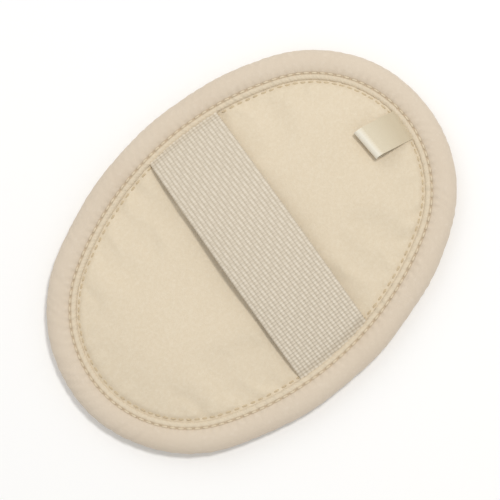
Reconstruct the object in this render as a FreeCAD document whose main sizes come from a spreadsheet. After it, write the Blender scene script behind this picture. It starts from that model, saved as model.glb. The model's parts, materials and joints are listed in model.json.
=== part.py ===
import FreeCAD, Part
import math
import os

import Sketcher

# A hand-held loofah scrub pad, strap side up, resting on its loofah face.
# X runs along the long axis towards the hanging loop, Y across it, and Z up.
# The origin is on the ground under the middle of the pad.

doc = FreeCAD.newDocument("LoofahScrubPad")
sheet = doc.addObject("Spreadsheet::Sheet", "Sizes")

# Lengths are millimetres and angles are degrees. An inset is measured inwards from the pad's outline,
# and a rise is measured up from the top of the sewn edge beside it.
sizes = {
    "half_length": 75.0,
    "half_width": 53.5,
    "end_flatness": 6.5,
    "loofah_thickness": 5.0,
    "loofah_edge": 2.1,
    "loofah_ramp_top": 9.6,
    "loofah_ramp_bottom": 22.0,
    "loofah_shoulder": 14.0,
    "loofah_shoulder_height": 0.8,
    "foam_edge": 0.8,
    "cloth_edge": 1.2,
    "cloth_thickness": 1.2,
    "crown_foot": 12.5,
    "crown_shoulder": 17.5,
    "crown_shoulder_rise": 2.2,
    "crown_brow": 28.0,
    "crown_brow_rise": 4.7,
    "crown_top_radius": 7.0,
    "crown_top_rise": 5.2,
    "edge_inset": 2.5,
    "roll_height": 8.0,
    "roll_round": 3.6,
    "roll_width": 7.7,
    "face_roll_width": 8.0,
    "hem_width": 2.5,
    "hem_thickness": 1.4,
    "roll_drop": 1.95,
    "thread_width": 0.5,
    "thread_height": 0.35,
    "thread_gap": 0.2,
    "tuck_inset": 4.0,
    "tuck_thickness": 0.8,
    "strap_width": 28.0,
    "strap_thickness": 1.6,
    "strap_slant": 8.1,
    "strap_shift": 3.4,
    "strap_gap": 5.2,
    "strap_root": 1.2,
    "strap_clearance": 0.8,
    "loop_width": 11.0,
    "tape_thickness": 0.5,
    "loop_reach": 12.0,
    "loop_bulge": 2.4,
    "loop_root_half": 0.55,
    "loop_root_start": 0.4,
    "loop_eye_start": 1.6,
    "loop_hinge_rise": 1.6,
    "loop_clearance": 1.3,
    "loop_yaw": 168.0,
    "loop_tilt": 27.0,
    "loop_side": 4.4,
}
for row, (name, value) in enumerate(sizes.items(), start=1):
    sheet.set(f"A{row}", name)
    sheet.set(f"B{row}", str(value))
    sheet.setAlias(f"B{row}", name)
doc.recompute()


def size(name):
    return f"<<Sizes>>.{name}"


# The end arcs' radius is the half width less the flatness of the ends. The side arcs' radius follows from it.
longHalf = size("half_length")
wideHalf = size("half_width")
endRadius = f"({wideHalf} - {size('end_flatness')})"
sideRadius = f"((({longHalf} - {endRadius})^2 + {wideHalf}^2 - {endRadius}^2) / (2 * {size('end_flatness')}))"
endValue = sizes["half_width"] - sizes["end_flatness"]
arcOffset = sizes["half_length"] - endValue
sideValue = (arcOffset**2 + sizes["half_width"] ** 2 - endValue**2) / (2 * sizes["end_flatness"])

# Heights that several pieces share.
loofahTop = size("loofah_thickness")
loofahEdgeUnder = f"({loofahTop} - {size('loofah_edge')})"
foamEdgeTop = f"({loofahTop} + {size('foam_edge')})"
clothEdgeTop = f"({foamEdgeTop} + {size('cloth_edge')})"
crownTop = f"({clothEdgeTop} + {size('crown_top_rise')})"
rollUnder = f"({loofahEdgeUnder} - {size('roll_drop')})"
hemTop = f"({clothEdgeTop} + {size('hem_thickness')})"
strapUnder = f"({crownTop} + {size('strap_gap')})"
strapFoot = f"({clothEdgeTop} + {size('strap_root')})"

# Insets that several pieces share.
hemInset = f"({size('roll_width')} + {size('hem_width')})"
layerSeamInset = f"({hemInset} + 2 * {size('thread_gap')})"
layerSeamInner = f"({layerSeamInset} + {size('thread_width')})"
tuckEnd = f"({hemInset} + {size('thread_gap')})"
spanInset = f"({layerSeamInner} + {size('strap_clearance')})"
loopInset = f"({layerSeamInner} + {size('loop_clearance')})"


def plane(body, role):
    return next(item for item in body.Origin.OriginFeatures if item.Role == role)


def addBody(label):
    body = doc.addObject("PartDesign::Body", label)
    body.Label = label
    return body


def addSketch(body, name, role="XY_Plane", height=None):
    sketch = body.newObject("Sketcher::SketchObject", name)
    sketch.AttachmentSupport = [(plane(body, role), "")]
    sketch.MapMode = "FlatFace"
    if height is not None:
        sketch.setExpression("AttachmentOffset.Base.z", height)
    return sketch


def arc(x, y, radius, start, end):
    circle = Part.Circle(FreeCAD.Vector(x, y, 0), FreeCAD.Vector(0, 0, 1), radius)
    return Part.ArcOfCircle(circle, start, end)


def line(x1, y1, x2, y2):
    return Part.LineSegment(FreeCAD.Vector(x1, y1, 0), FreeCAD.Vector(x2, y2, 0))


def bind(sketch, name, expression):
    sketch.setExpression(f"Constraints.{name}", expression)


def drawOval(sketch, inset, guess, name):
    """Draws the pad's outline moved inwards: two end arcs and two side arcs, each tangent to the next."""
    end = endValue - guess
    side = sideValue - guess
    drop = sideValue - sizes["half_width"]
    turn = math.atan2(drop, arcOffset)
    right = sketch.addGeometry(arc(arcOffset, 0, end, -turn, turn))
    top = sketch.addGeometry(arc(0, -drop, side, turn, math.pi - turn))
    left = sketch.addGeometry(arc(-arcOffset, 0, end, math.pi - turn, math.pi + turn))
    bottom = sketch.addGeometry(arc(0, drop, side, math.pi + turn, 2 * math.pi - turn))
    for one, other in ((right, top), (top, left), (left, bottom), (bottom, right)):
        sketch.addConstraint(Sketcher.Constraint("Tangent", one, 2, other, 1))
    sketch.addConstraint(Sketcher.Constraint("PointOnObject", right, 3, -1))
    sketch.addConstraint(Sketcher.Constraint("PointOnObject", left, 3, -1))
    reach = f"({longHalf} - {endRadius})"
    dimensions = (
        ("Right", "DistanceX", (-1, 1, right, 3), arcOffset, reach),
        ("Left", "DistanceX", (left, 3, -1, 1), arcOffset, reach),
        ("RightEnd", "Radius", (right,), end, f"{endRadius} - {inset}"),
        ("LeftEnd", "Radius", (left,), end, f"{endRadius} - {inset}"),
        ("TopSide", "Radius", (top,), side, f"{sideRadius} - {inset}"),
        ("BottomSide", "Radius", (bottom,), side, f"{sideRadius} - {inset}"),
    )
    for word, kind, places, value, expression in dimensions:
        index = sketch.addConstraint(Sketcher.Constraint(kind, *places, value))
        sketch.renameConstraint(index, name + word)
        bind(sketch, name + word, expression)


def addOval(body, name, height, inset, guess=10.0):
    sketch = addSketch(body, name, height=height)
    drawOval(sketch, inset, guess, "oval")
    return sketch


def addPad(body, name, sketch, length, midplane=False):
    pad = body.newObject("PartDesign::Pad", name)
    pad.Profile = sketch
    pad.Midplane = midplane
    pad.setExpression("Length", length)
    return pad


def addPocket(body, name, sketch, length, upwards=False):
    pocket = body.newObject("PartDesign::Pocket", name)
    pocket.Profile = sketch
    pocket.Reversed = upwards
    pocket.setExpression("Length", length)
    return pocket


def addLoft(body, name, sections):
    loft = body.newObject("PartDesign::AdditiveLoft", name)
    loft.Profile = (sections[0], [""])
    loft.Sections = [(section, [""]) for section in sections[1:]]
    loft.Ruled = True
    return loft


def addRing(label, height, inset, width, thickness):
    """A flat ring that follows the outline: a row of sewing thread, or the space for the tucked ends."""
    body = addBody(label)
    sketch = addSketch(body, label + "Outline", height=height)
    drawOval(sketch, inset, 8.0, "outer")
    drawOval(sketch, f"({inset} + {width})", 9.0, "inner")
    addPad(body, label + "Ring", sketch, thickness)
    return body


def addBoolean(kind, label, base, tool):
    result = doc.addObject(kind, label)
    result.Label = label
    result.Base = base
    result.Tool = tool
    return result


# The loofah sheet: flat on top, sewn thin at its edge, and full in the middle where it touches the skin.
loofah = addBody("loofah_face")
loofahSheet = addOval(loofah, "LoofahSheet", loofahEdgeUnder, size("edge_inset"), 2.5)
addPad(loofah, "LoofahEdge", loofahSheet, size("loofah_edge"))
doc.recompute()
loofahLevels = (
    (loofahEdgeUnder, size("loofah_ramp_top")),
    (size("loofah_shoulder_height"), size("loofah_shoulder")),
    ("0 * " + loofahTop, size("loofah_ramp_bottom")),
)
loofahSections = [
    addOval(loofah, f"LoofahLevel{count}", height, inset) for count, (height, inset) in enumerate(loofahLevels)
]
addLoft(loofah, "LoofahFull", loofahSections)
doc.recompute()

# The padding: a thin sewn edge and a crown that rises in three steps of slope.
crownSteps = (
    (size("crown_foot"), "0 * " + loofahTop),
    (size("crown_shoulder"), size("crown_shoulder_rise")),
    (size("crown_brow"), size("crown_brow_rise")),
    (f"({endRadius} - {size('crown_top_radius')})", size("crown_top_rise")),
)


def addCrown(body, name, foot, extraInset):
    sections = [
        addOval(body, f"{name}Level{count}", f"{foot} + {rise}", f"({inset} + {extraInset})", 12.0)
        for count, (inset, rise) in enumerate(crownSteps)
    ]
    return addLoft(body, name, sections)


foam = addBody("foam_core")
foamSheet = addOval(foam, "FoamSheet", loofahTop, size("edge_inset"), 2.5)
addPad(foam, "FoamEdge", foamSheet, size("foam_edge"))
doc.recompute()
addCrown(foam, "FoamCrown", f"({clothEdgeTop} - {size('cloth_thickness')})", size("cloth_thickness"))
doc.recompute()

# The backing cloth: stretched over the padding and sewn down all round.
clothBlank = addBody("ClothBlank")
clothSheet = addOval(clothBlank, "ClothSheet", foamEdgeTop, size("edge_inset"), 2.5)
addPad(clothBlank, "ClothEdge", clothSheet, size("cloth_edge"))
doc.recompute()
addCrown(clothBlank, "ClothCrown", clothEdgeTop, "0 * " + loofahTop)
doc.recompute()
cloth = addBoolean("Part::Cut", "backing_cloth", clothBlank, foam)

# The strap's two sewn ends and the loop's sewn tail lie flat under the binding.
tuckWidth = f"({tuckEnd} - {size('tuck_inset')})"


def addTuck(label, width, near, far, side):
    """One flat sewn end: the part of the tuck ring that a strip of the given width covers."""
    strip = addBody(label + "_strip")
    sketch = addSketch(strip, label + "Strip", height=f"({clothEdgeTop} - 1)")
    corners = ((-1, 1), (1, 1), (1, 2), (-1, 2))
    points = [(across, side * along) for across, along in corners]
    edges = [
        sketch.addGeometry(line(*points[count], *points[(count + 1) % 4])) for count in range(4)
    ]
    for count in range(4):
        sketch.addConstraint(Sketcher.Constraint("Coincident", edges[count], 2, edges[(count + 1) % 4], 1))
    for count, kind in ((1, "Vertical"), (2, "Horizontal"), (3, "Vertical")):
        sketch.addConstraint(Sketcher.Constraint(kind, edges[count]))
    sketch.addConstraint(Sketcher.Constraint("Symmetric", edges[0], 1, edges[0], 2, -2))
    index = sketch.addConstraint(Sketcher.Constraint("DistanceX", edges[0], 1, edges[0], 2, 2.0))
    sketch.renameConstraint(index, "across")
    bind(sketch, "across", width)
    for name, edge, expression in (("near", edges[0], near), ("far", edges[2], far)):
        places = (-1, 1, edge, 1) if side > 0 else (edge, 1, -1, 1)
        value = 1.0 if name == "near" else 2.0
        index = sketch.addConstraint(Sketcher.Constraint("DistanceY", *places, value))
        sketch.renameConstraint(index, name)
        bind(sketch, name, expression)
    addPad(strip, label + "Bar", sketch, "3 * " + size("tuck_thickness") + " + 2")
    ring = addRing(label + "_ring", clothEdgeTop, size("tuck_inset"), tuckWidth, size("tuck_thickness"))
    return addBoolean("Part::Common", label, ring, strip), strip


def turnAboutPad(body, x, y, angle):
    body.setExpression("Placement.Base.x", x)
    body.setExpression("Placement.Base.y", y)
    body.setExpression("Placement.Rotation.Angle", angle)


strapEnds = []
for label, side in (("strap_end_left", 1), ("strap_end_right", -1)):
    end, strip = addTuck(label, size("strap_width"), f"0.3 * {wideHalf}", f"1.3 * {wideHalf}", side)
    turnAboutPad(strip, size("strap_shift"), "0 * " + loofahTop, "-1 * " + size("strap_slant"))
    strapEnds.append(end)

loopX = f"({longHalf} - {loopInset})"
loopY = f"-1 * {size('loop_side')}"
tail, tailStrip = addTuck("loop_tail", size("loop_width"), size("thread_gap"), f"0.5 * {longHalf}", -1)
turnAboutPad(tailStrip, loopX, loopY, f"{size('loop_yaw')} - 90")
doc.recompute()

# The binding: a strip of cloth rolled over the edge, a thin hem on the back, and a slot for the layers.
bindingBlank = addBody("BindingBlank")
rollSketch = addOval(bindingBlank, "RollOutline", rollUnder, "0 * " + loofahTop, 0.0)
roll = addPad(bindingBlank, "Roll", rollSketch, size("roll_height"))
doc.recompute()
rims = []
for count, edge in enumerate(roll.Shape.Edges, start=1):
    if abs(edge.BoundBox.ZLength) < 0.01:
        rims.append(f"Edge{count}")
rounding = bindingBlank.newObject("PartDesign::Fillet", "RollRounding")
rounding.Base = (roll, rims)
rounding.setExpression("Radius", f"min({size('roll_round')}; 0.45 * {size('roll_height')})")
doc.recompute()
rollTop = f"({rollUnder} + {size('roll_height')})"
pockets = (
    ("HemStep", rollTop, size("roll_width"), f"({rollTop} - {hemTop})", False),
    ("BackWindow", hemTop, hemInset, f"({size('hem_thickness')})", False),
    ("LayerSlot", clothEdgeTop, size("edge_inset"), f"({clothEdgeTop} - {loofahEdgeUnder})", False),
    ("FaceWindow", rollUnder, size("face_roll_width"), size("roll_drop"), True),
)
for name, height, inset, depth, upwards in pockets:
    outline = addOval(bindingBlank, name + "Outline", height, inset)
    addPocket(bindingBlank, name, outline, depth, upwards)
    doc.recompute()
tucked = doc.addObject("Part::MultiFuse", "TuckedEnds")
tucked.Shapes = strapEnds + [tail]
binding = addBoolean("Part::Cut", "edge_binding", bindingBlank, tucked)

# Three rows of sewing thread.
threadHeight = size("thread_height")
threadWidth = size("thread_width")
seamInset = f"({size('roll_width')} + {size('thread_gap')})"
faceSeamInset = f"({size('face_roll_width')} - {size('thread_gap')} - 3 * {threadWidth})"
threads = [
    addRing("binding_thread_back", hemTop, seamInset, threadWidth, threadHeight),
    addRing("binding_thread_face", f"({rollUnder} - {threadHeight})", faceSeamInset, threadWidth, threadHeight),
    addRing("layer_seam_thread", clothEdgeTop, layerSeamInset, threadWidth, threadHeight),
]

# The elastic strap: an arched band whose ends follow the binding, free to be lifted by a hand.
strapHalf = f"({wideHalf} - {spanInset})"
sagitta = f"({strapUnder} - {strapFoot})"
bandHalf = f"({wideHalf} - {size('edge_inset')})"
underRadius = f"(({strapHalf}^2 + {sagitta}^2) / (2 * {sagitta}))"
band = addBody("StrapBand")
bandSketch = addSketch(band, "StrapArch", "YZ_Plane")
archCentre = -70.0
archHalf = 50.0
archRadius = 90.0
outerRadius = archRadius + sizes["strap_thickness"]
innerTurn = math.acos(archHalf / archRadius)
outerTurn = math.acos(archHalf / outerRadius)
under = bandSketch.addGeometry(arc(0, archCentre, archRadius, innerTurn, math.pi - innerTurn))
over = bandSketch.addGeometry(arc(0, archCentre, outerRadius, outerTurn, math.pi - outerTurn))
innerRise = archCentre + archRadius * math.sin(innerTurn)
outerRise = archCentre + outerRadius * math.sin(outerTurn)
rightEnd = bandSketch.addGeometry(line(archHalf, innerRise, archHalf, outerRise))
leftEnd = bandSketch.addGeometry(line(-archHalf, innerRise, -archHalf, outerRise))
for places in (
    (under, 1, rightEnd, 1),
    (over, 1, rightEnd, 2),
    (under, 2, leftEnd, 1),
    (over, 2, leftEnd, 2),
    (under, 3, over, 3),
):
    bandSketch.addConstraint(Sketcher.Constraint("Coincident", *places))
bandSketch.addConstraint(Sketcher.Constraint("PointOnObject", under, 3, -2))
bandSketch.addConstraint(Sketcher.Constraint("Vertical", rightEnd))
bandSketch.addConstraint(Sketcher.Constraint("Vertical", leftEnd))
archDimensions = (
    ("centre", "DistanceY", (under, 3, -1, 1), -archCentre, f"{underRadius} - {strapUnder}"),
    ("inside", "Radius", (under,), archRadius, underRadius),
    ("outside", "Radius", (over,), outerRadius, f"{underRadius} + {size('strap_thickness')}"),
    ("right", "DistanceX", (-1, 1, rightEnd, 1), archHalf, bandHalf),
    ("left", "DistanceX", (leftEnd, 1, -1, 1), archHalf, bandHalf),
)
for name, kind, places, value, expression in archDimensions:
    index = bandSketch.addConstraint(Sketcher.Constraint(kind, *places, value))
    bandSketch.renameConstraint(index, name)
    bind(bandSketch, name, expression)
addPad(band, "StrapWidth", bandSketch, size("strap_width"), True)
turnAboutPad(band, size("strap_shift"), "0 * " + loofahTop, "-1 * " + size("strap_slant"))
spanLimit = addBody("SpanLimit")
limitSketch = addOval(spanLimit, "SpanLimitOutline", "-1 * " + strapUnder, spanInset)
addPad(spanLimit, "SpanLimitPrism", limitSketch, "3 * " + strapUnder)
strap = addBoolean("Part::Common", "elastic_strap", band, spanLimit)

# The hanging loop: a folded tape, two plies that meet at the root and round out to the fold.
loop = addBody("hanging_loop")
loopSketch = addSketch(loop, "LoopSide", "XZ_Plane")
reach = sizes["loop_reach"]
plies = (
    ("outer", sizes["loop_bulge"], sizes["loop_root_start"], sizes["loop_root_half"]),
    ("inner", sizes["loop_bulge"] - sizes["tape_thickness"], sizes["loop_eye_start"], 0.0),
)
folds = {}
for name, radius, start, half in plies:
    slope = math.asin((radius - half) / (reach - start))
    topX = reach - radius * math.sin(slope)
    topY = radius * math.cos(slope)
    fold = loopSketch.addGeometry(arc(reach, 0, radius, slope - math.pi / 2 - 2 * slope, math.pi / 2 + slope))
    upper = loopSketch.addGeometry(line(topX, topY, start, half))
    lower = loopSketch.addGeometry(line(start, -half, topX, -topY))
    loopSketch.addConstraint(Sketcher.Constraint("Tangent", fold, 2, upper, 1))
    loopSketch.addConstraint(Sketcher.Constraint("Tangent", lower, 2, fold, 1))
    folds[name] = (fold, upper, lower)
rootX, rootHalf = sizes["loop_root_start"], sizes["loop_root_half"]
root = loopSketch.addGeometry(line(rootX, rootHalf, rootX, -rootHalf))
outerFold, outerUpper, outerLower = folds["outer"]
innerFold, innerUpper, innerLower = folds["inner"]
loopConstraints = (
    ("Coincident", (outerUpper, 2, root, 1)),
    ("Coincident", (root, 2, outerLower, 1)),
    ("Coincident", (innerUpper, 2, innerLower, 1)),
    ("Coincident", (innerFold, 3, outerFold, 3)),
    ("PointOnObject", (outerFold, 3, -1)),
    ("PointOnObject", (innerUpper, 2, -1)),
    ("Symmetric", (root, 1, root, 2, -1)),
)
for kind, places in loopConstraints:
    loopSketch.addConstraint(Sketcher.Constraint(kind, *places))
bulge = size("loop_bulge")
eyeRadius = f"{bulge} - {size('tape_thickness')}"
eyeValue = sizes["loop_bulge"] - sizes["tape_thickness"]
loopDimensions = (
    ("reach", "DistanceX", (-1, 1, outerFold, 3), reach, size("loop_reach")),
    ("bulge", "Radius", (outerFold,), sizes["loop_bulge"], bulge),
    ("eye", "Radius", (innerFold,), eyeValue, eyeRadius),
    ("rootStart", "DistanceX", (-1, 1, root, 1), rootX, size("loop_root_start")),
    ("rootHeight", "DistanceY", (root, 2, root, 1), 2 * rootHalf, f"2 * {size('loop_root_half')}"),
    ("eyeStart", "DistanceX", (-1, 1, innerUpper, 2), sizes["loop_eye_start"], size("loop_eye_start")),
)
for name, kind, places, value, expression in loopDimensions:
    index = loopSketch.addConstraint(Sketcher.Constraint(kind, *places, value))
    loopSketch.renameConstraint(index, name)
    bind(loopSketch, name, expression)
loopSketch.setExpression("AttachmentOffset.Rotation.Angle", size("loop_tilt"))
addPad(loop, "LoopWidth", loopSketch, size("loop_width"), True)
turnAboutPad(loop, loopX, loopY, size("loop_yaw"))
loop.setExpression("Placement.Base.z", f"{clothEdgeTop} + {size('loop_hinge_rise')}")
doc.recompute()

nodes = [loofah, foam, cloth, binding, *threads, *strapEnds, tail, strap, loop]
broken = [item.Name for item in doc.Objects if {"Invalid", "Error"} & set(item.State)]
if broken:
    raise RuntimeError(f"these did not build: {broken}")
os.makedirs("parts", exist_ok=True)
for node in nodes:
    shape = node.Shape
    if shape.isNull() or not shape.isValid() or len(shape.Solids) != 1:
        raise RuntimeError(f"{node.Label} is not one valid solid")
    shape.exportStep(f"parts/{node.Label}.step")
    box = shape.BoundBox
    print(
        f"{node.Label:22s} {shape.Volume / 1000:8.2f} cm3  x {box.XMin:7.2f} {box.XMax:7.2f}"
        f"  y {box.YMin:7.2f} {box.YMax:7.2f}  z {box.ZMin:6.2f} {box.ZMax:6.2f}"
    )
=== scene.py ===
import json
import math
import random

import bpy
import numpy as np
from mathutils import Matrix, Vector, noise


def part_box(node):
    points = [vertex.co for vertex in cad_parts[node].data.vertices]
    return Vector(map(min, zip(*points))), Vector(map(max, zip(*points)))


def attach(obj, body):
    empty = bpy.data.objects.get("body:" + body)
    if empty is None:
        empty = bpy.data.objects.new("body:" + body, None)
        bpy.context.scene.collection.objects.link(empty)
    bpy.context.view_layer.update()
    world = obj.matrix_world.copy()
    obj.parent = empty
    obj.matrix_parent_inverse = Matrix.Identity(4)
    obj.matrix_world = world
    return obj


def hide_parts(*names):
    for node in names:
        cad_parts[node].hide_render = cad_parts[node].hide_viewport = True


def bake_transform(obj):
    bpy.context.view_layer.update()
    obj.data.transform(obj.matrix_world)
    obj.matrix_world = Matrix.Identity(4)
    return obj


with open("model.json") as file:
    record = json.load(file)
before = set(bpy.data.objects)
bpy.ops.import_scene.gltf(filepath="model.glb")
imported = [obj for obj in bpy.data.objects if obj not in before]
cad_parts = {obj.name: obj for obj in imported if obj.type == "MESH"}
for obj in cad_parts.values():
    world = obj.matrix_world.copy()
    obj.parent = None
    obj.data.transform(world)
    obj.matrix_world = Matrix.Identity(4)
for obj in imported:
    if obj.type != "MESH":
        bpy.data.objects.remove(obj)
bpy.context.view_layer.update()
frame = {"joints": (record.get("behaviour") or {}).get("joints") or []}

mm = 0.001

# heights and sizes that the cloth pieces share, read from the frame
halfLength, halfWidth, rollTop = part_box("edge_binding")[1]
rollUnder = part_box("edge_binding")[0][2]
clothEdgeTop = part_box("layer_seam_thread")[0][2]
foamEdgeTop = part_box("backing_cloth")[0][2]
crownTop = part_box("backing_cloth")[1][2]
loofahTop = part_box("loofah_face")[1][2]
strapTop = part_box("elastic_strap")[1][2]
threadGap = 0.4 * mm  # from the hem's edge to the thread that holds the layers
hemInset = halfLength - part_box("layer_seam_thread")[1][0] - threadGap

# the pad's outline: two end arcs and two side arcs that meet in line
outline = {
    "endFlatness": 6.5 * mm,
    "segments": 480,
    "measuredAt": 5 * mm,  # how far in from the outline its length is measured
}
endRadius = halfWidth - outline["endFlatness"]
endCentre = halfLength - endRadius
sideRadius = (endCentre**2 + halfWidth**2 - endRadius**2) / (2 * outline["endFlatness"])
sideCentre = sideRadius - halfWidth
joinTurn = math.atan2(sideCentre, endCentre)
endArc = joinTurn * (endRadius - outline["measuredAt"])
sideArc = (math.pi - 2 * joinTurn) * (sideRadius - outline["measuredAt"])
rimLength = 4 * endArc + 2 * sideArc


def rim(share, inset):
    # the point at a share of the way round, moved inwards, and the direction straight out there
    along = np.mod(share, 1.0) * rimLength
    stops = np.cumsum([0, endArc, sideArc, 2 * endArc, sideArc, endArc])
    turns = [0, joinTurn, math.pi - joinTurn, math.pi + joinTurn, 2 * math.pi - joinTurn, 2 * math.pi]
    turn = np.interp(along, stops, turns)
    outX, outY = np.cos(turn), np.sin(turn)
    onEnd = np.abs(outX) > math.cos(joinTurn)
    centreX = np.where(onEnd, np.sign(outX) * endCentre, 0.0)
    centreY = np.where(onEnd, 0.0, -np.sign(outY) * sideCentre)
    radius = np.where(onEnd, endRadius, sideRadius) - inset
    return centreX + radius * outX, centreY + radius * outY, outX, outY


def insetOf(x, y):
    # how far a place is in from the outline
    x, y = np.abs(x), np.abs(y)
    onEnd = np.arctan2(y, x - endCentre) < joinTurn
    fromEnd = endRadius - np.hypot(x - endCentre, y)
    fromSide = sideRadius - np.hypot(x, y + sideCentre)
    return np.where(onEnd, fromEnd, fromSide)


def ease(value):
    # a smooth step from 0 to 1
    value = np.clip(value, 0.0, 1.0)
    return value * value * (3 - 2 * value)


def bell(distance, width):
    return np.exp(-((distance / width) ** 2))


def waves(share, seed, lowest, highest, count):
    # an uneven ripple that closes on itself after one way round
    maker = random.Random(seed)
    total = np.zeros_like(share)
    for _ in range(count):
        total += np.sin(2 * math.pi * (maker.randint(lowest, highest) * share + maker.random()))
    return total / math.sqrt(count)


def lumps(x, y, scale, seed):
    # smooth uneven bumps, with the scale in bumps to the metre
    flat = [noise.noise(Vector((a * scale, b * scale, seed))) for a, b in zip(x.ravel(), y.ravel())]
    return np.array(flat).reshape(x.shape)


def clearSelection():
    if bpy.context.object and bpy.context.object.mode != "OBJECT":
        bpy.ops.object.mode_set(mode="OBJECT")
    bpy.ops.object.select_all(action="DESELECT")


def makeActive(piece):
    clearSelection()
    piece.select_set(True)
    bpy.context.view_layer.objects.active = piece


def editAll(piece, operator, **settings):
    # one edit-mode operator on the whole mesh
    makeActive(piece)
    bpy.ops.object.mode_set(mode="EDIT")
    bpy.ops.mesh.select_all(action="SELECT")
    operator(**settings)
    bpy.ops.object.mode_set(mode="OBJECT")


def shapedGrid(name, points, texture):
    # a flat grid moved into shape: points holds a place and texture a UV in metres for each row and column
    clearSelection()
    rows, columns = points.shape[0] - 1, points.shape[1] - 1
    bpy.ops.mesh.primitive_grid_add(x_subdivisions=columns, y_subdivisions=rows, size=2, location=(0, 0, 0))
    piece = bpy.context.object
    piece.name = name
    mesh = piece.data
    flat = np.zeros(len(mesh.vertices) * 3)
    mesh.vertices.foreach_get("co", flat)
    flat = flat.reshape(-1, 3)
    column = np.rint((flat[:, 0] + 1) / 2 * columns).astype(int)
    row = np.rint((flat[:, 1] + 1) / 2 * rows).astype(int)
    corner = np.zeros(len(mesh.loops), int)
    mesh.loops.foreach_get("vertex_index", corner)
    mesh.uv_layers[0].data.foreach_set("uv", texture[row[corner], column[corner]].ravel())
    mesh.vertices.foreach_set("co", points[row, column].ravel())
    mesh.update()
    editAll(piece, bpy.ops.mesh.remove_doubles, threshold=1e-6)
    bpy.ops.object.shade_smooth()
    return piece


def facesOut(piece):
    editAll(piece, bpy.ops.mesh.normals_make_consistent, inside=False)


def facesUp(piece):
    # an open sheet's faces all look the same way, so its first face tells which
    if piece.data.polygons[0].normal.z < 0:
        editAll(piece, bpy.ops.mesh.flip_normals)


def thicken(piece, thickness, offset=-1):
    # offset -1 grows the cloth inwards from its outer face, and 0 to both sides
    makeActive(piece)
    modifier = piece.modifiers.new("Thickness", "SOLIDIFY")
    modifier.thickness = thickness
    modifier.offset = offset
    bpy.ops.object.modifier_apply(modifier=modifier.name)
    bpy.ops.object.shade_smooth_by_angle(angle=math.radians(50))


def finishPiece(piece, material, slotName, *nodes):
    # the piece's material and the nodes it stands for; slotName is not used
    piece.data.materials.clear()
    piece.data.materials.append(material)
    if nodes:
        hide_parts(*nodes)


class Signal:
    # a socket that can be used in sums
    def __init__(self, shader, socket):
        self.shader = shader
        self.socket = socket

    def join(self, operation, other, swapped=False):
        first, second = (other, self) if swapped else (self, other)
        return self.shader.node("ShaderNodeMath", {"operation": operation}, {0: first, 1: second})

    def __add__(self, other):
        return self.join("ADD", other)

    def __radd__(self, other):
        return self.join("ADD", other, True)

    def __sub__(self, other):
        return self.join("SUBTRACT", other)

    def __rsub__(self, other):
        return self.join("SUBTRACT", other, True)

    def __mul__(self, other):
        return self.join("MULTIPLY", other)

    def __rmul__(self, other):
        return self.join("MULTIPLY", other, True)

    def __pow__(self, other):
        return self.join("POWER", other)

    def __abs__(self):
        return self.shader.node("ShaderNodeMath", {"operation": "ABSOLUTE"}, {0: self})


class Shader:
    # one material with its main shader, and a short way to add nodes to it
    def __init__(self, name, roughness, sheen=0.0, specular=0.3):
        self.material = bpy.data.materials.new(name)
        self.material.use_nodes = True
        self.tree = self.material.node_tree
        self.surface = self.tree.nodes["Principled BSDF"]
        self.surface.inputs["Roughness"].default_value = roughness
        self.surface.inputs["Sheen Weight"].default_value = sheen
        self.surface.inputs["Sheen Roughness"].default_value = 0.45
        self.surface.inputs["Specular IOR Level"].default_value = specular

    def node(self, kind, settings=None, values=None, output=0):
        made = self.tree.nodes.new(kind)
        for key, value in (settings or {}).items():
            setattr(made, key, value)
        for key, value in (values or {}).items():
            if isinstance(value, Signal):
                self.tree.links.new(value.socket, made.inputs[key])
            else:
                made.inputs[key].default_value = value
        return Signal(self, made.outputs[output])

    def place(self):
        return self.node("ShaderNodeTexCoord", output="Object")

    def uv(self):
        # the piece's own map, in metres along it and across it
        split = self.node("ShaderNodeSeparateXYZ", values={0: self.node("ShaderNodeTexCoord", output="UV")})
        return split, Signal(self, split.socket.node.outputs[1])

    def noise(self, scale, detail=2.0, stretch=(1, 1, 1)):
        spot = self.place()
        if stretch != (1, 1, 1):
            spot = self.node("ShaderNodeMapping", values={"Vector": spot, "Scale": stretch})
        return self.node("ShaderNodeTexNoise", values={"Vector": spot, "Scale": scale, "Detail": detail})

    def cells(self, scale, feature="F1"):
        values = {"Vector": self.place(), "Scale": scale}
        return self.node("ShaderNodeTexVoronoi", {"feature": feature}, values)

    def ripple(self, value, pitch, shift=0.0):
        # 0 in the hollows and 1 on the ridges of a wave with this pitch
        turn = value * (2 * math.pi / pitch) + shift
        return self.node("ShaderNodeMath", {"operation": "COSINE"}, {0: turn}) * 0.5 + 0.5

    def clamp(self, value, low, high):
        # 0 at low and 1 at high, in a straight line between them
        ends = {"From Min": low, "From Max": high}
        return self.node("ShaderNodeMapRange", {"clamp": True}, {"Value": value, **ends})

    def mix(self, factor, first, second):
        return self.node("ShaderNodeMix", {"data_type": "RGBA"}, {0: factor, 6: first, 7: second}, 2)

    def bump(self, height, distance, strength=1.0, under=None):
        values = {"Height": height, "Distance": distance, "Strength": strength}
        if under:
            values["Normal"] = under
        return self.node("ShaderNodeBump", values=values)

    def finish(self, colour, normal=None, roughness=None):
        for name, signal in {"Base Color": colour, "Normal": normal, "Roughness": roughness}.items():
            if signal:
                self.tree.links.new(signal.socket, self.surface.inputs[name])
        return self.material


def paint(red, green, blue):
    # a colour as seen on a screen, from 0 to 255, in the shader's own scale
    scaled = [(value / 255 + 0.055) / 1.055 for value in (red, green, blue)]
    return (*[value**2.4 for value in scaled], 1)


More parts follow.
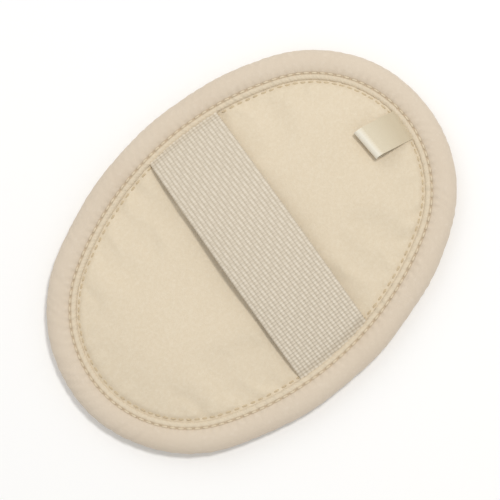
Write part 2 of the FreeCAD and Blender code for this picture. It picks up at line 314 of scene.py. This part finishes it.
studio = {
    "tilt": 5.0,  # degrees from straight above, leaning towards the pad's near long side
    "turn": 43.4,  # how far the pad's long axis climbs to the right in the picture
    "lens": 120.0,
    "pictureWidth": 163 * mm,
    "lookAt": (0.0, 0.0, 8 * mm),
    "keyLampPower": 4.3,
    "keyLampSize": 0.15,
    "keyLampPlace": (0.25, 0.24, 0.98),  # metres to the picture's right, towards its top and above the pad
    "fillLampPower": 1.5,
    "fillLampSize": 0.9,
    "fillLampPlace": (-0.5, 0.65, 0.75),
    "sky": 0.63,
    "floorColour": (249, 248, 246),
}


def makeCamera():
    tilt = math.radians(studio["tilt"])
    back = Vector((0, -math.sin(tilt), math.cos(tilt)))
    turn = math.radians(studio["turn"])
    up = Vector((math.sin(turn), math.cos(turn), 0))
    right = up.cross(back).normalized()
    up = back.cross(right)
    data = bpy.data.cameras.new("camera")
    distance = studio["pictureWidth"] * studio["lens"] / data.sensor_width
    data.lens = studio["lens"]
    data.clip_start = 0.01
    camera = bpy.data.objects.new("camera", data)
    bpy.context.scene.collection.objects.link(camera)
    axes = Matrix((right, up, back)).transposed().to_4x4()
    camera.matrix_world = Matrix.Translation(Vector(studio["lookAt"]) + back * distance) @ axes
    bpy.context.scene.camera = camera
    return right, up


def addLamp(name, power, size, place):
    data = bpy.data.lights.new(name, "AREA")
    data.energy = power
    data.size = size
    data.shape = "DISK"
    lamp = bpy.data.objects.new(name, data)
    bpy.context.scene.collection.objects.link(lamp)
    lamp.location = place
    lamp.rotation_euler = (Vector((0, 0, 0)) - Vector(place)).to_track_quat("-Z", "Y").to_euler()


def makeStudio():
    right, up = makeCamera()
    for name in ("keyLamp", "fillLamp"):
        toRight, toTop, above = studio[name + "Place"]
        place = right * toRight + up * toTop + Vector((0, 0, above))
        addLamp(name, studio[name + "Power"], studio[name + "Size"], place)
    world = bpy.data.worlds.new("sky")
    world.use_nodes = True
    world.node_tree.nodes["Background"].inputs[0].default_value = (1, 1, 1, 1)
    world.node_tree.nodes["Background"].inputs[1].default_value = studio["sky"]
    bpy.context.scene.world = world
    bpy.context.scene.view_settings.view_transform = "Standard"
    clearSelection()
    bpy.ops.mesh.primitive_circle_add(vertices=64, radius=4, fill_type="NGON", location=(0, 0, 0))
    floor = bpy.context.object
    floor.name = "floor"
    cover = Shader("floorPaper", 0.85, specular=0.1)
    cover.surface.inputs["Base Color"].default_value = paint(*studio["floorColour"])
    floor.data.materials.append(cover.material)


makeStudio()
print("camera and light ready")


def makeBackingCloth():
    cloth = Shader("brushedCotton", 0.92, sheen=0.25)
    broad = cloth.noise(45, 3)
    nap = cloth.noise(900, 3)
    fluff = cloth.noise(2600, 2)
    colour = cloth.mix(broad, paint(223, 208, 183), paint(217, 202, 176))
    colour = cloth.mix(cloth.clamp(nap, 0.4, 0.8) * 0.5, colour, paint(230, 218, 196))
    colour = cloth.mix(cloth.clamp(fluff, 0.62, 0.3) * 0.13, colour, paint(188, 170, 140))
    normal = cloth.bump(nap, 0.22 * mm, 0.35)
    normal = cloth.bump(fluff, 0.1 * mm, 0.5, normal)
    return cloth.finish(colour, normal, nap * 0.12 + 0.86)


def makeBindingCloth():
    cloth = Shader("bindingCotton", 0.88, sheen=0.2)
    along, across = cloth.uv()
    warp = cloth.ripple(along + across, 0.62 * mm)
    weft = cloth.ripple(along - across, 0.62 * mm)
    weave = warp * weft
    cloudy = cloth.noise(60, 3)
    slub = cloth.noise(700, 2)
    colour = cloth.mix(cloudy, paint(222, 208, 188), paint(215, 199, 178))
    colour = cloth.mix((1 - weave) * 0.12, colour, paint(186, 166, 142))
    colour = cloth.mix(cloth.clamp(slub, 0.55, 0.75) * 0.2, colour, paint(232, 220, 204))
    hem = cloth.clamp(across, 2.9 * mm, 2.3 * mm)
    colour = cloth.mix(hem * 0.8, colour, paint(221, 206, 180))
    # painted shade: a dark brown band along the stitched groove beside the roll
    grooveShade = cloth.clamp(abs(across - binding["grooveAt"]), 0.7 * mm, 0.15 * mm)
    colour = cloth.mix(grooveShade * 0.55, colour, paint(174, 148, 110))
    normal = cloth.bump(weave, 0.12 * mm, 0.6)
    normal = cloth.bump(slub, 0.25 * mm, 0.5, normal)
    return cloth.finish(colour, normal, slub * 0.12 + 0.82)


def makeElastic():
    webbing = Shader("ribbedElastic", 0.72, sheen=0.12)
    along, across = webbing.uv()
    rib = webbing.ripple(across, strap["width"] / strap["ribs"], math.pi)
    pick = webbing.ripple(along, strap["pickPitch"])
    twill = webbing.ripple(along * 0.39 + across * 0.92, 1.9 * mm)
    wear = webbing.noise(120, 3)
    fuzz = webbing.noise(1800, 2)
    colour = webbing.mix(wear, paint(221, 209, 190), paint(212, 200, 180))
    # painted shade: darker in the hollows between the ribs
    colour = webbing.mix((1 - rib) ** 2.2 * 0.46, colour, paint(180, 167, 144))
    colour = webbing.mix((1 - pick) * 0.32, colour, paint(186, 173, 150))
    colour = webbing.mix(twill * rib * 0.4, colour, paint(240, 231, 214))
    normal = webbing.bump(pick, 0.22 * mm, 0.8)
    normal = webbing.bump(fuzz, 0.12 * mm, 0.5, normal)
    return webbing.finish(colour, normal, fuzz * 0.2 + 0.62)


def makeTape():
    satin = Shader("satinTape", 0.42, sheen=0.35, specular=0.5)
    along, across = satin.uv()
    twill = satin.ripple(along + across * 0.6, 0.5 * mm)
    cross = satin.ripple(across, 0.42 * mm)
    colour = satin.mix(twill, paint(222, 211, 186), paint(212, 199, 172))
    colour = satin.mix((1 - cross) * 0.15, colour, paint(186, 172, 140))
    fromFold = abs(along - tape["foldAt"])
    # painted shade: the tape grows darker further from the fold, where it slopes away from the light
    colour = satin.mix(satin.clamp(fromFold, 4 * mm, 13 * mm) * 0.7, colour, paint(198, 182, 152))
    # painted highlight: a bright band across the fold
    colour = satin.mix(satin.clamp(fromFold, 2.3 * mm, 1.1 * mm) * 0.8, colour, paint(250, 245, 230))
    normal = satin.bump(twill * 0.6 + cross * 0.4, 0.08 * mm, 0.7)
    return satin.finish(colour, normal, cross * 0.12 + 0.36)


def makeThread(name, light, dark):
    thread = Shader(name, 0.6, sheen=0.1, specular=0.4)
    ply = thread.noise(2400, 1)
    return thread.finish(thread.mix(ply, light, dark), thread.bump(ply, 0.1 * mm, 0.5), ply * 0.2 + 0.5)


def makeLoofah():
    mat = Shader("loofahMat", 0.9, sheen=0.1)
    patch = mat.noise(40, 3)
    grain = mat.noise(520, 4, (0.6, 1, 1))
    pits = mat.clamp(mat.cells(760, "DISTANCE_TO_EDGE"), 0.0, 0.4)
    colour = mat.mix(patch, paint(246, 232, 203), paint(240, 223, 189))
    # painted shade: darker in the pits that the bump sinks
    colour = mat.mix(pits * 0.45, colour, paint(208, 184, 142))
    colour = mat.mix(mat.clamp(grain, 0.6, 0.8) * 0.4, colour, paint(250, 240, 216))
    normal = mat.bump(1 - pits, 0.5 * mm, 0.9)
    normal = mat.bump(grain, 0.4 * mm, 0.6, normal)
    return mat.finish(colour, normal, grain * 0.16 + 0.82)


def makeFibre():
    fibre = Shader("loofahFibre", 0.7, sheen=0.1)
    streak = fibre.noise(260, 3)
    colour = fibre.mix(streak, paint(251, 241, 217), paint(240, 222, 187))
    return fibre.finish(colour, fibre.bump(fibre.noise(3000, 1), 0.08 * mm, 0.6), streak * 0.2 + 0.6)


def makeFoam():
    foam = Shader("openFoam", 0.95)
    cells = foam.cells(900)
    colour = foam.mix(cells, paint(244, 240, 226), paint(218, 210, 190))
    return foam.finish(colour, foam.bump(cells, 0.4 * mm))


# a closed shell is built from rings that follow the outline, and further in than this shrink to the middle
innermostOffset = 30 * mm
# between layers that lie on each other
layerGap = 0.05 * mm


def ringPlaces(inset):
    # the ring at an inset, and past the innermost offset a smaller copy of it
    share = np.linspace(0, 1, outline["segments"] + 1)
    x, y, _, _ = rim(share, np.full_like(share, min(inset, innermostOffset)))
    room = halfWidth - innermostOffset
    shrink = 1 - max(inset - innermostOffset, 0) / room
    return share, x * shrink, y * shrink


def shell(name, levels):
    # the levels, each an inset and a height function, go from the middle of one side to that of the other
    places, texture, travelled = [], [], 0.0
    for inset, heightAt in levels:
        share, x, y = ringPlaces(inset)
        z = heightAt(share, x, y, insetOf(x, y))
        places.append(np.stack([x, y, z], 1))
        if len(places) > 1:
            travelled += float(np.median(np.linalg.norm(places[-1] - places[-2], axis=1)))
        texture.append(np.stack([share * rimLength, np.full_like(share, travelled)], 1))
    piece = shapedGrid(name, np.array(places), np.array(texture))
    facesOut(piece)
    return piece


def insetSteps(start, end, count):
    return [start + (end - start) * (step / count) for step in range(count + 1)]


crown = {
    "rise": crownTop - clothEdgeTop,
    "run": 30 * mm,
    "fullness": 2.4,
    "foamRise": 0.9,  # the foam's share of the cloth's rise
    "foamEdge": 3 * mm,
    "puckerDepth": 0.2 * mm,
    "puckerAt": 1.5 * mm,  # from the hem to where the puckers are deepest
    "puckerReach": 4.2 * mm,
    "lumpDepth": 0.16 * mm,
    "edge": 3 * mm,
    "heldWidth": 0.4 * mm,  # how far past the hem the cloth is held
    "gridLong": 104,
    "gridWide": 74,
    "startRise": 0.9,  # the share of its rise that the cloth has before it is blown out
    "pressure": 4.0,
    "spare": 0.02,  # how much larger the cloth was cut than the space it is sewn to
    "steps": 20,  # of the simulation
    "mostMove": 0.9 * mm,
    "thickness": 1.1 * mm,
    "rowInset": 0.9 * mm,  # from the hem to the row of stitches that holds the layers
    "rowDepth": 0.28 * mm,
    "rowWidth": 0.7 * mm,
}


def crownHeight(inset):
    climb = np.clip((inset - hemInset) / crown["run"], 0, 1)
    return crown["rise"] * (1 - (1 - climb) ** crown["fullness"])


def foamHeight(share, x, y, inset):
    settled = 0.1 * mm * ease((inset - hemInset) / (4 * mm))
    return foamEdgeTop - layerGap + crownHeight(inset) * crown["foamRise"] - settled


def level(height):
    # the height function of a flat ring
    return lambda share, x, y, inset: np.full_like(share, height)


def coordinates(piece):
    flat = np.zeros(len(piece.data.vertices) * 3)
    piece.data.vertices.foreach_get("co", flat)
    return flat.reshape(-1, 3)


def moveTo(piece, places):
    piece.data.vertices.foreach_set("co", places.ravel())
    piece.data.update()


def blowOut(piece):
    # the cloth is held at its seam and pressed out by the padding, then no point keeps more than a small move
    start = coordinates(piece)
    sewn = piece.vertex_groups.new(name="sewn")
    held = np.flatnonzero(insetOf(start[:, 0], start[:, 1]) < hemInset + crown["heldWidth"])
    sewn.add([int(number) for number in held], 1.0, "REPLACE")
    makeActive(piece)
    modifier = piece.modifiers.new("Cloth", "CLOTH")
    modifier.settings.quality = 6
    modifier.settings.vertex_group_mass = "sewn"
    modifier.settings.use_pressure = True
    modifier.settings.uniform_pressure_force = crown["pressure"]
    modifier.settings.shrink_min = -crown["spare"]
    modifier.settings.effector_weights.gravity = 0
    modifier.point_cache.frame_end = crown["steps"]
    for step in range(1, crown["steps"] + 1):
        bpy.context.scene.frame_set(step)
    bpy.ops.object.modifier_apply(modifier=modifier.name)
    bpy.context.scene.frame_set(1)
    move = coordinates(piece) - start
    reach = np.maximum(np.linalg.norm(move, axis=1, keepdims=True), 1e-9)
    moveTo(piece, start + move * np.tanh(reach / crown["mostMove"]) * crown["mostMove"] / reach)


def makeBacking():
    # a square grid rounded into a disc and stretched to the outline, so that no faces crowd at the middle
    columns, rows = np.meshgrid(*[np.linspace(-1, 1, crown[side] + 1) for side in ("gridLong", "gridWide")])
    acrossDisc, upDisc = columns * np.sqrt(1 - rows**2 / 2), rows * np.sqrt(1 - columns**2 / 2)
    reach = np.hypot(acrossDisc, upDisc)
    x, y, _, _ = rim(np.arctan2(upDisc, acrossDisc) / (2 * math.pi), crown["edge"])
    x, y = x * reach, y * reach
    inset = insetOf(x, y)
    z = clothEdgeTop + crownHeight(inset) * crown["startRise"]
    piece = shapedGrid("backing", np.stack([x, y, z], 2), np.stack([x, y], 2))
    blowOut(piece)
    makeActive(piece)
    modifier = piece.modifiers.new("Finer", "SUBSURF")
    modifier.levels = 1
    modifier.render_levels = 1
    bpy.ops.object.modifier_apply(modifier=modifier.name)
    places = coordinates(piece)
    x, y = places[:, 0], places[:, 1]
    inset = insetOf(x, y)
    near = bell(inset - hemInset - crown["puckerAt"], crown["puckerReach"])
    places[:, 2] -= crown["rowDepth"] * bell(inset - hemInset - crown["rowInset"], crown["rowWidth"])
    share = np.arctan2(y / halfWidth, x / halfLength) / (2 * math.pi)
    puckers = waves(share, seed=7, lowest=34, highest=88, count=7) * near * crown["puckerDepth"]
    places[:, 2] += puckers * ease((inset - hemInset) / (2 * mm))
    broad = lumps(x, y, scale=38, seed=2.0)
    fine = lumps(x, y, scale=95, seed=5.0)
    places[:, 2] += (broad + 0.5 * fine) * crown["lumpDepth"]
    moveTo(piece, places)
    facesUp(piece)
    thicken(piece, crown["thickness"])
    finishPiece(piece, makeBackingCloth(), "backing", "backing_cloth")
    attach(piece, "pad")
    return piece


def makeFoamCore():
    under = [(inset, level(loofahTop + layerGap)) for inset in insetSteps(halfWidth, crown["foamEdge"], 12)]
    over = [(inset, foamHeight) for inset in insetSteps(crown["foamEdge"], halfWidth, 26)]
    piece = shell("foam", under + over)
    finishPiece(piece, makeFoam(), "foam", "foam_core")
    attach(piece, "pad")


makeFoamCore()
backing = makeBacking()
print("padding and backing ready")

loofah = {
    "edgeInset": 8.2 * mm,
    "run": 15 * mm,
    "fullness": 2.6,
    "flatHeight": 0.95 * mm,
    "edgeThickness": 2.1 * mm,
    "pitDepth": 0.3 * mm,
    "fibres": 2900,  # tries, of which those that start too near the edge are left out
    "fibreRadius": 0.17 * mm,
    "fibreStep": 1.15 * mm,
    "fibreSteps": (5, 10),
    "fibreLift": (0.05, 0.42),  # the least and the most that a fibre stands out from the mat, in millimetres
    "fibreBend": 0.34,  # how strongly a fibre curls one way, in radians at each step
    "fibreWander": 0.22,  # how unevenly it curls
}
matEdge = loofahTop - loofah["edgeThickness"]
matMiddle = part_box("loofah_face")[0][2] + loofah["flatHeight"]


def matRun(inset):
    # 0 at the binding and 1 where the face is flat
    return np.clip((inset - loofah["edgeInset"]) / loofah["run"], 0, 1)


def matHeight(inset):
    return matEdge + (matMiddle - matEdge) * (1 - (1 - matRun(inset)) ** loofah["fullness"])


def faceHeight(share, x, y, inset):
    pits = (lumps(x, y, scale=620, seed=1.0) + lumps(x, y, scale=300, seed=4.0)) * loofah["pitDepth"]
    return matHeight(inset) + pits * ease(matRun(inset) * 6)


def makeFibres():
    maker = random.Random(21)
    data = bpy.data.curves.new("fibres", "CURVE")
    data.dimensions = "3D"
    data.bevel_depth = loofah["fibreRadius"]
    data.bevel_resolution = 0
    data.use_fill_caps = True
    for _ in range(loofah["fibres"]):
        x = maker.uniform(-halfLength, halfLength)
        y = maker.uniform(-halfWidth, halfWidth)
        heading = maker.uniform(0, 2 * math.pi)
        bend = maker.gauss(0, loofah["fibreBend"])
        lift = maker.uniform(*loofah["fibreLift"]) * mm
        steps = []
        for step in range(maker.randint(*loofah["fibreSteps"])):
            inset = float(insetOf(x, y))
            if inset < loofah["edgeInset"] + 0.6 * mm:
                break
            z = float(matHeight(inset)) - lift + 0.12 * mm * math.sin(step * 1.7 + lift / mm * 9)
            steps.append((x, y, max(z, loofah["fibreRadius"] * 1.1), 1))
            heading += bend + maker.gauss(0, loofah["fibreWander"])
            x += loofah["fibreStep"] * math.cos(heading)
            y += loofah["fibreStep"] * math.sin(heading)
        if len(steps) < 3:
            continue
        spline = data.splines.new("POLY")
        spline.points.add(len(steps) - 1)
        spline.points.foreach_set("co", [value for point in steps for value in point])
        spline.points.foreach_set("radius", [maker.uniform(0.75, 1.25) for _ in steps])
    fibres = bpy.data.objects.new("fibres", data)
    bpy.context.scene.collection.objects.link(fibres)
    makeActive(fibres)
    bpy.ops.object.convert(target="MESH")
    bpy.ops.object.shade_smooth()
    piece = bpy.context.object
    finishPiece(piece, makeFibre(), "loofah")
    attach(piece, "pad")
    return piece


def makeLoofahFace():
    under = [(inset, faceHeight) for inset in insetSteps(halfWidth, loofah["edgeInset"] - 1 * mm, 90)]
    edge = [(inset, level(matEdge)) for inset in insetSteps(7 * mm, 3 * mm, 3)]
    over = [(inset, level(loofahTop - layerGap)) for inset in insetSteps(3 * mm, halfWidth, 8)]
    piece = shell("loofah", under + edge + over)
    finishPiece(piece, makeLoofah(), "loofah", "loofah_face")
    fibres = makeFibres()
    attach(piece, "pad")


makeLoofahFace()
print("loofah face ready")

binding = {
    "stitches": 131,
    "seamInset": 8.15 * mm,
    "seamWidth": 1.3 * mm,
    "pull": 0.3 * mm,
    "faceSeamInset": 7.15 * mm,
    "faceSeamWidth": 1.2 * mm,
    "facePull": 0.2 * mm,
    "gatherInset": 7.2 * mm,
    "gather": 0.16 * mm,  # how deep each stitch pulls a pucker into the roll
    "rollInset": 4.5 * mm,  # the middle of the roll
    "hemFrom": 8.6 * mm,  # the hem's flat part is further in than this
    "hemDepth": 0.12 * mm,
    "overcast": 0.1 * mm,
    "lowest": 0.4 * mm,  # no point of the strip comes nearer to the ground
    "grooveAt": 2.95 * mm,  # along the section, from under the hem to the stitched groove beside the roll
    "crease": 0.07 * mm,
    # the strip's section in millimetres, inset and height, from under the hem over the roll to the loofah
    # side and back through the slot that holds the cloth, the foam and the loofah
    "section": (
        (10.15, 6.95), (10.3, 7.2), (10.15, 7.6), (9.7, 7.98), (9.0, 8.14), (8.4, 8.02), (8.0, 8.02),
        (7.6, 8.3), (6.8, 8.68), (5.6, 8.9), (4.3, 8.95), (2.9, 8.65), (1.6, 7.95), (0.6, 6.85),
        (0.1, 5.6), (0.05, 4.6), (0.5, 3.2), (1.4, 2.05), (2.7, 1.25), (4.2, 0.97), (5.6, 1.0),
        (6.6, 1.3), (7.1, 1.55), (7.6, 1.5), (8.1, 1.75), (8.3, 2.25), (8.1, 2.8), (6.5, 2.95),
        (4.5, 3.0), (2.9, 3.2), (2.6, 4.9), (2.9, 6.8), (4.5, 7.0), (6.5, 7.05), (8.5, 7.05),
    ),
}


def sectionLine(points, perStretch):
    # a closed smooth line through the section's points
    points = np.array(points) * mm
    step = np.linspace(0, 1, perStretch, endpoint=False)[:, None]
    line = []
    for count in range(len(points)):
        before, start, end, after = (points[(count + shift) % len(points)] for shift in (-1, 0, 1, 2))
        bend = (2 * before - 5 * start + 4 * end - after) * step**2
        bend = bend + (3 * start - before - 3 * end + after) * step**3
        line.append(0.5 * (2 * start + (end - before) * step + bend))
    line = np.concatenate(line)
    return np.concatenate([line, line[:1]])


def makeBinding():
    section = sectionLine(binding["section"], 2)
    share = np.linspace(0, 1, outline["segments"] * 2 + 1)
    travelled = np.concatenate([[0], np.cumsum(np.linalg.norm(np.diff(section, axis=0), axis=1))])
    stitchWave = 0.5 + 0.5 * np.cos(2 * math.pi * binding["stitches"] * share)
    broad = waves(share, seed=5, lowest=4, highest=15, count=5)
    hemWaves = waves(share, seed=11, lowest=50, highest=120, count=6)
    middle = (rollTop + rollUnder) / 2
    places, texture = [], []
    for count, (inset, height) in enumerate(section):
        # how strongly each effect works on this line of the section
        onBack = height > 7.5 * mm
        onFace = height < 2 * mm
        gather = onBack * bell(inset - binding["gatherInset"], binding["seamWidth"])
        backSeam = onBack * bell(inset - binding["seamInset"], binding["seamWidth"])
        faceSeam = onFace * bell(inset - binding["faceSeamInset"], binding["faceSeamWidth"])
        inSlot = 2.85 * mm < height < 7.1 * mm and inset >= 1.5 * mm
        roll = float(ease((binding["hemFrom"] - inset) / (3 * mm))) * (not inSlot)
        onHem = inset > binding["hemFrom"] and height > 7.3 * mm
        creases = waves(share + count * 0.0011, seed=3, lowest=40, highest=150, count=9)
        swell = roll * (binding["crease"] * creases + 0.12 * mm * broad)
        overcast = np.cos(2 * math.pi * (2 * binding["stitches"] * share + inset / (1.6 * mm)))
        hem = onHem * (binding["hemDepth"] * hemWaves + binding["overcast"] * overcast)
        push = np.array([binding["rollInset"] - inset, height - middle])
        push = push / max(np.linalg.norm(push), 1e-6)
        z = height + push[1] * swell + hem - backSeam * binding["pull"] * stitchWave
        z += faceSeam * binding["facePull"] * stitchWave - gather * binding["gather"] * stitchWave
        x, y, _, _ = rim(share, inset - push[0] * swell * (inset < binding["rollInset"]) + 0.25 * hem)
        places.append(np.stack([x, y, np.maximum(z, binding["lowest"])], 1))
        texture.append(np.stack([share * rimLength, np.full_like(share, travelled[count])], 1))
    piece = shapedGrid("binding", np.array(places), np.array(texture))
    facesOut(piece)
    finishPiece(piece, makeBindingCloth(), "binding", "edge_binding")
    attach(piece, "pad")


makeBinding()
print("binding ready")


def makeStitch(length, radius):
    # a short thick thread whose ends dip into the cloth
    clearSelection()
    bpy.ops.mesh.primitive_uv_sphere_add(segments=8, ring_count=7, radius=1, location=(0, 0, 0))
    stitch = bpy.context.object
    editAll(stitch, bpy.ops.transform.resize, value=(length / 2, radius, radius * 0.8))
    for vertex in stitch.data.vertices:
        reach = vertex.co.x / (length / 2)
        fuller = math.sqrt(1 + reach**2 + reach**4)
        vertex.co.y *= fuller
        vertex.co.z = vertex.co.z * fuller - radius * 1.1 * reach**2
    bpy.ops.object.shade_smooth()
    return stitch


def sewRound(name, row, material, node, below=False, liesOn=None):
    # one row of stitches all the way round, under the pad or on top of it
    stitch = makeStitch(row["length"], row["radius"])
    copies = []
    count = row["stitches"]
    for number in range(count):
        x, y, outX, outY = (float(value) for value in rim(np.array((number + 0.5) / count), row["inset"]))
        height = row["height"]
        if liesOn:
            height += liesOn.ray_cast(Vector((x, y, 2 * crownTop)), Vector((0, 0, -1)))[1].z
        turn = Matrix.Rotation(math.atan2(outY, outX) + math.pi / 2, 4, "Z")
        flip = Matrix.Rotation(math.pi, 4, "X") if below else Matrix.Identity(4)
        copy = stitch.copy()
        copy.data = stitch.data.copy()
        copy.data.transform(Matrix.Translation((x, y, height)) @ turn @ flip)
        bpy.context.scene.collection.objects.link(copy)
        copies.append(copy)
    bpy.data.objects.remove(stitch)
    clearSelection()
    for copy in copies:
        copy.select_set(True)
    bpy.context.view_layer.objects.active = copies[0]
    bpy.ops.object.join()
    piece = bpy.context.object
    piece.name = name
    finishPiece(piece, material, "thread", node)
    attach(piece, "pad")


# the heights of the rows by the roll are above the ground, and that of the layers' row is above the backing
seamRow = {
    "stitches": binding["stitches"], "inset": binding["seamInset"], "height": 8.12 * mm,
    "length": 2.1 * mm, "radius": 0.26 * mm,
}
layerRow = {
    "stitches": 126, "inset": hemInset + crown["rowInset"], "height": 0.16 * mm,
    "length": 2.0 * mm, "radius": 0.28 * mm,
}
faceRow = {
    "stitches": binding["stitches"], "inset": binding["faceSeamInset"], "height": 1.42 * mm,
    "length": 2.2 * mm, "radius": 0.26 * mm,
}
sewingThread = makeThread("sewingThread", paint(228, 215, 190), paint(206, 188, 158))
layerThread = makeThread("layerThread", paint(213, 196, 165), paint(188, 167, 132))
paleThread = makeThread("paleThread", paint(240, 230, 214), paint(222, 208, 186))
sewRound("seamStitches", seamRow, sewingThread, "binding_thread_back")
sewRound("layerStitches", layerRow, layerThread, "layer_seam_thread", liesOn=backing)
sewRound("faceStitches", faceRow, paleThread, "binding_thread_face", below=True)
print("stitches ready")

strap = {
    "width": 28 * mm,
    "slant": 8.1,
    "shift": 3.4 * mm,
    "thickness": 1.35 * mm,
    "ribs": 20,
    "ribDepth": 0.16 * mm,
    "selvedge": 0.45 * mm,  # how far the outermost threads drop
    "wave": 0.22 * mm,  # how far the long edges rise and fall
    "cup": 0.9 * mm,  # how far the long edges curl down
    "lean": 0.5 * mm,  # how much lower the edge towards the loop lies
    "pickPitch": 1.05 * mm,
    "taper": 0.01,  # how much wider the near end is than the middle, as a share
    "footInset": 11.9 * mm,  # from the outline to where the strap starts to rise
    "footRise": 1.2 * mm,
    "archEnd": 1.6 * mm,  # how far above its foot the arch ends, before it is tucked down
    "blendRise": 15 * mm,
    "tuckRise": 0.45 * mm,  # from the cloth's edge to the strap's top where the hem covers it
    "underHem": 1.2 * mm,  # how far in under the hem the strap's ends run
    "easing": 3.5 * mm,  # how far the strap takes to come down to the hem
    "alongSteps": 96,
    "stepsPerRib": 6,
}


def strapPlace(along, across):
    # from distances along and across the strap to a place on the pad
    slant = math.radians(strap["slant"])
    x = strap["shift"] + across * math.cos(slant) + along * math.sin(slant)
    y = -across * math.sin(slant) + along * math.cos(slant)
    return x, y


def strapReach(across, side):
    # how far along the strap its end meets the binding, for each thread across it
    low, high = np.full_like(across, 20 * mm), np.full_like(across, 60 * mm)
    for _ in range(40):
        middle = (low + high) / 2
        x, y = strapPlace(side * middle, across)
        outside = insetOf(x, y) < hemInset - strap["underHem"]
        high = np.where(outside, middle, high)
        low = np.where(outside, low, middle)
    return low


def makeStrapHalf(name, side, nodes, material):
    across = np.linspace(-1, 1, strap["ribs"] * strap["stepsPerRib"] + 1)
    ribHeight = np.abs(np.sin(math.pi * strap["ribs"] * (across + 1) / 2)) ** 0.7 * strap["ribDepth"]
    reach = strapReach(across * strap["width"] / 2, side)
    foot = clothEdgeTop + strap["footRise"]
    footAt = halfWidth - strap["footInset"]
    sagitta = strapTop - strap["archEnd"] - foot
    archRadius = (footAt**2 + sagitta**2) / (2 * sagitta)
    places, texture = [], []
    for step in range(strap["alongSteps"] + 1):
        share = step / strap["alongSteps"]
        along = side * reach * share
        narrow = 1 - side * strap["taper"] * share
        width = across * strap["width"] / 2 * narrow
        x, y = strapPlace(along, width)
        archDrop = archRadius - np.sqrt(archRadius**2 - along**2)
        toEnd = ease((insetOf(x, y) - hemInset + 0.8 * mm) / strap["easing"])
        z = strapTop - archDrop - strap["ribDepth"] + ribHeight
        z -= strap["selvedge"] * np.abs(across) ** 24
        z -= (strap["cup"] * across**2 + strap["lean"] * (across + 1)) * math.cos(math.pi / 2 * share)
        z += strap["wave"] * across**3 * math.sin(share * 5.2 + side) * math.sin(math.pi * share)
        z = np.where(toEnd < 1, z * toEnd + (clothEdgeTop + strap["tuckRise"]) * (1 - toEnd), z)
        places.append(np.stack([x, y, z], 1))
        texture.append(np.stack([along, across * strap["width"] / 2 + strap["width"] / 2], 1))
    piece = shapedGrid(name, np.array(places), np.array(texture))
    facesUp(piece)
    thicken(piece, strap["thickness"])
    finishPiece(piece, material, "elastic", *nodes)
    startX, startY = strapPlace(side * (footAt + 0.5 * mm), 0)
    endX, endY = strapPlace(side * 4 * mm, 0)
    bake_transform(piece)


elastic = makeElastic()
makeStrapHalf("strapLeft", 1, ("strap_end_left", "elastic_strap"), elastic)
makeStrapHalf("strapRight", -1, ("strap_end_right",), elastic)
print("strap ready")

tape = {
    "width": 11 * mm,
    "thickness": 0.5 * mm,
    "reach": 12 * mm,
    "bulge": 2.15 * mm,
    "plyOffset": 0.3 * mm,  # from the tape's middle line to each ply where it comes out from under the hem
    "tailOffset": 0.28 * mm,  # the same, under the hem
    "tilt": 27.0,
    "tuck": 3.0 * mm,
    "easing": 2.1 * mm,  # how far the tail takes to come down to the hem's level
    "bow": 0.25 * mm,
    "skew": 9.0,  # degrees that the fold is turned from square
    "foldAt": 19.5 * mm,  # along the tape from its sewn end
    "foldSquash": 0.9,  # how deep the fold's round end is beside half a circle
    "plySteps": 22,
    "foldSteps": 20,
    "tailSteps": 9,
    "acrossSteps": 24,
}


def makeLoop():
    hinge = next(joint for joint in frame["joints"] if joint["name"] == "loop_flip")
    root = Vector(hinge["pos_m"])
    axis = Vector(hinge["axis"])
    tilt = math.radians(tape["tilt"])
    ahead = Vector((-axis.y, axis.x, 0)).normalized()
    # the tape's middle line: out from under the hem, along the lower ply, round the fold and back
    ply = tape["plyOffset"]
    slope = math.asin((tape["bulge"] - ply) / tape["reach"])
    tangentX = tape["reach"] + tape["bulge"] * math.sin(slope)
    opening = tape["bulge"] * math.cos(slope) - ply
    foldDepth = tape["bulge"] * tape["foldSquash"]
    path = []
    for share in np.linspace(0, 1, tape["plySteps"]):
        path.append((share * tangentX, -ply - share * opening))
    for share in np.linspace(0, 1, tape["foldSteps"])[1:-1]:
        turn = -math.pi / 2 + slope + share * (math.pi - 2 * slope)
        path.append((tape["reach"] + foldDepth * math.cos(turn), tape["bulge"] * math.sin(turn)))
    for share in np.linspace(1, 0, tape["plySteps"]):
        path.append((share * tangentX, ply + share * opening))
    tail = [-share * tape["tuck"] for share in np.linspace(1, 0.12, tape["tailSteps"])]
    hemLevel = clothEdgeTop - layerGap - root.z
    tailRise = [hemLevel * ease(-along / tape["easing"]) for along in tail]
    cosine, sine = math.cos(tilt), math.sin(tilt)
    levels = [(along, rise - tape["tailOffset"]) for along, rise in zip(tail, tailRise)]
    levels += [(along * cosine - up * sine, along * sine + up * cosine) for along, up in path]
    levels += [(along, rise + tape["tailOffset"]) for along, rise in reversed(list(zip(tail, tailRise)))]
    across = np.linspace(-1, 1, tape["acrossSteps"] + 1)
    places, texture, travelled = [], [], 0.0
    for count, (along, rise) in enumerate(levels):
        if count:
            travelled += math.dist(levels[count], levels[count - 1])
        bow = tape["bow"] * across**2 * math.sin(math.pi * count / len(levels))
        centre = root + ahead * float(along)
        skew = math.radians(tape["skew"]) * min(max(float(along) / tape["reach"], 0), 1)
        sideways = Matrix.Rotation(skew, 3, "Z") @ axis
        x = centre.x + sideways.x * across * tape["width"] / 2
        y = centre.y + sideways.y * across * tape["width"] / 2
        places.append(np.stack([x, y, root.z + rise + bow * 0.5], 1))
        texture.append(np.stack([np.full_like(across, travelled), across * tape["width"] / 2], 1))
    piece = shapedGrid("loop", np.array(places), np.array(texture))
    thicken(piece, tape["thickness"], 0)
    facesOut(piece)
    finishPiece(piece, makeTape(), "tape", "hanging_loop", "loop_tail")
    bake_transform(piece)


makeLoop()
print("hanging loop ready")
